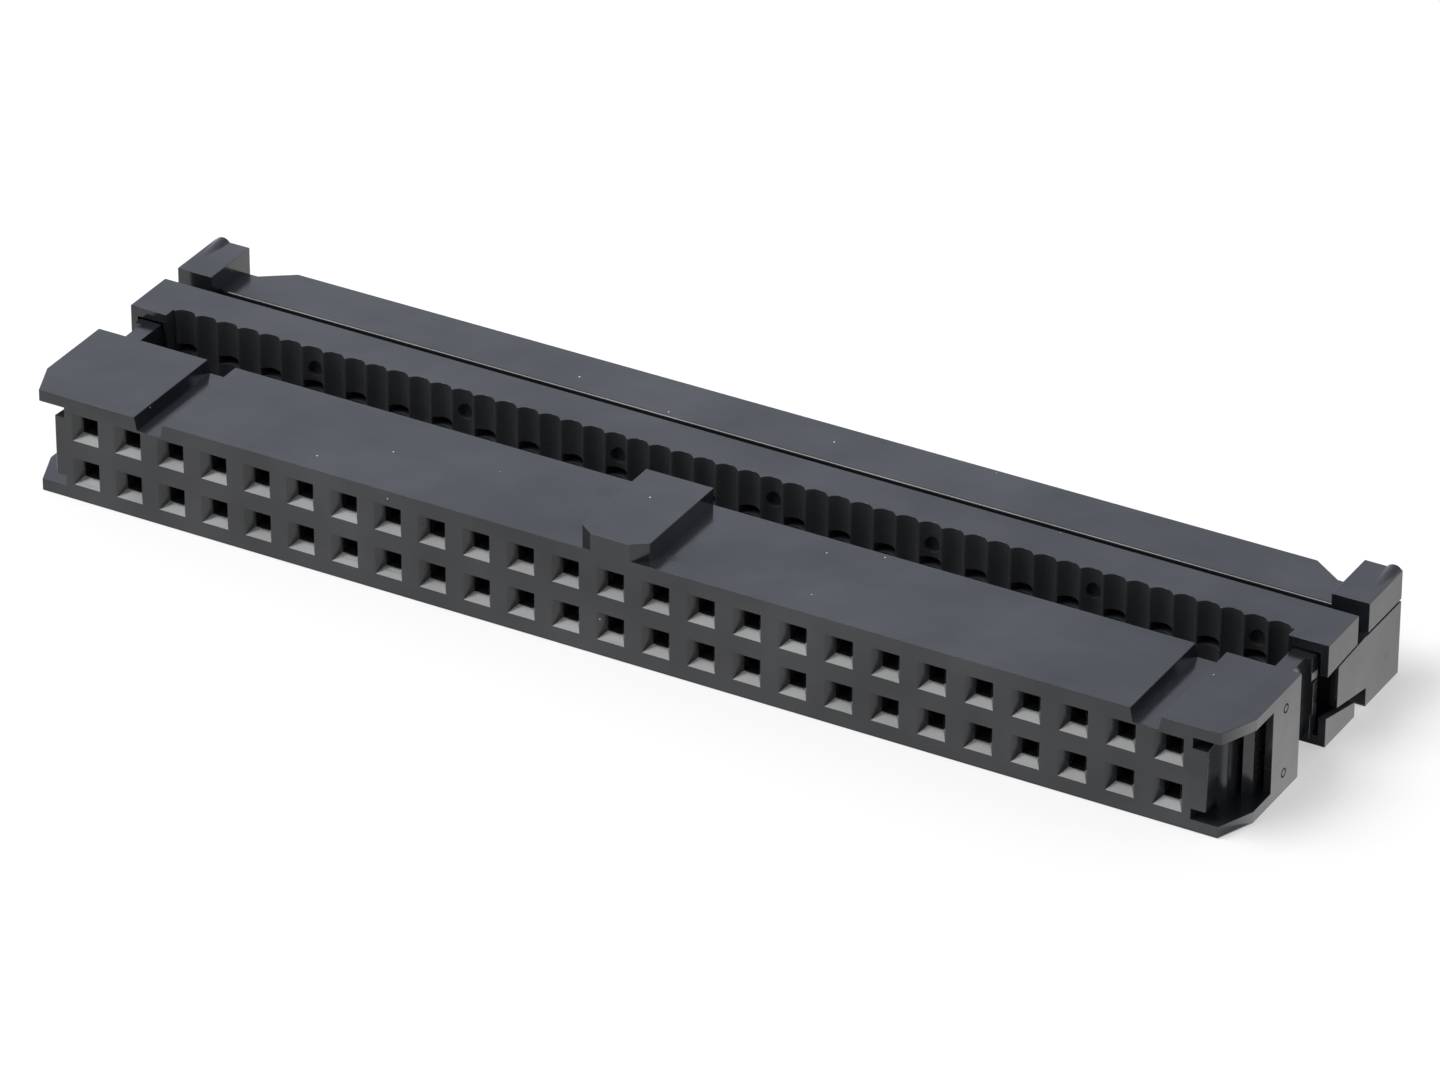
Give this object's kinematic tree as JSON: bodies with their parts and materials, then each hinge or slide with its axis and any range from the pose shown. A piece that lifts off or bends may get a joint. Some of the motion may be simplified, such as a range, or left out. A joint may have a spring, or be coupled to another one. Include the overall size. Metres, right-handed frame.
{
  "type": "insulation displacement connector",
  "caption": "Two-row ribbon cable socket with polarising key and grooves, a grooved cover raised for the cable, and a clip-on strain relief bar.",
  "frame": {"origin": "middle of the pin grid on the mating face", "axes": "+X along the rows, +Y from the mating face towards the cable, +Z across the rows towards the key"},
  "size_m": [0.068, 0.0183, 0.0067],
  "materials": {
    "housing": "moulded glass-filled polyester, black, glossy",
    "contact": "stamped phosphor bronze, plated"
  },
  "bodies": {
    "socket": {"socket_body": "housing", "contact_a01": "contact", "contact_a02": "contact", "contact_a03": "contact", "contact_a04": "contact", "contact_a05": "contact", "contact_a06": "contact", "contact_a07": "contact", "contact_a08": "contact", "contact_a09": "contact", "contact_a10": "contact", "contact_a11": "contact", "contact_a12": "contact", "contact_a13": "contact", "contact_a14": "contact", "contact_a15": "contact", "contact_a16": "contact", "contact_a17": "contact", "contact_a18": "contact", "contact_a19": "contact", "contact_a20": "contact", "contact_a21": "contact", "contact_a22": "contact", "contact_a23": "contact", "contact_a24": "contact", "contact_a25": "contact", "contact_b01": "contact", "contact_b02": "contact", "contact_b03": "contact", "contact_b04": "contact", "contact_b05": "contact", "contact_b06": "contact", "contact_b07": "contact", "contact_b08": "contact", "contact_b09": "contact", "contact_b10": "contact", "contact_b11": "contact", "contact_b12": "contact", "contact_b13": "contact", "contact_b14": "contact", "contact_b15": "contact", "contact_b16": "contact", "contact_b17": "contact", "contact_b18": "contact", "contact_b19": "contact", "contact_b20": "contact", "contact_b21": "contact", "contact_b22": "contact", "contact_b23": "contact", "contact_b24": "contact", "contact_b25": "contact"},
    "wire_cover": {"cover": "housing"},
    "cable_clamp": {"strain_relief": "housing"}
  },
  "joints": [
    {"name": "cover_press", "type": "slide", "parent": "socket", "child": "wire_cover", "axis": [0, -1, 0], "range_m": [0, 0.0026]},
    {"name": "strain_relief_press", "type": "slide", "parent": "wire_cover", "child": "cable_clamp", "axis": [0, -1, 0], "range_m": [0, 0.001]}
  ]
}
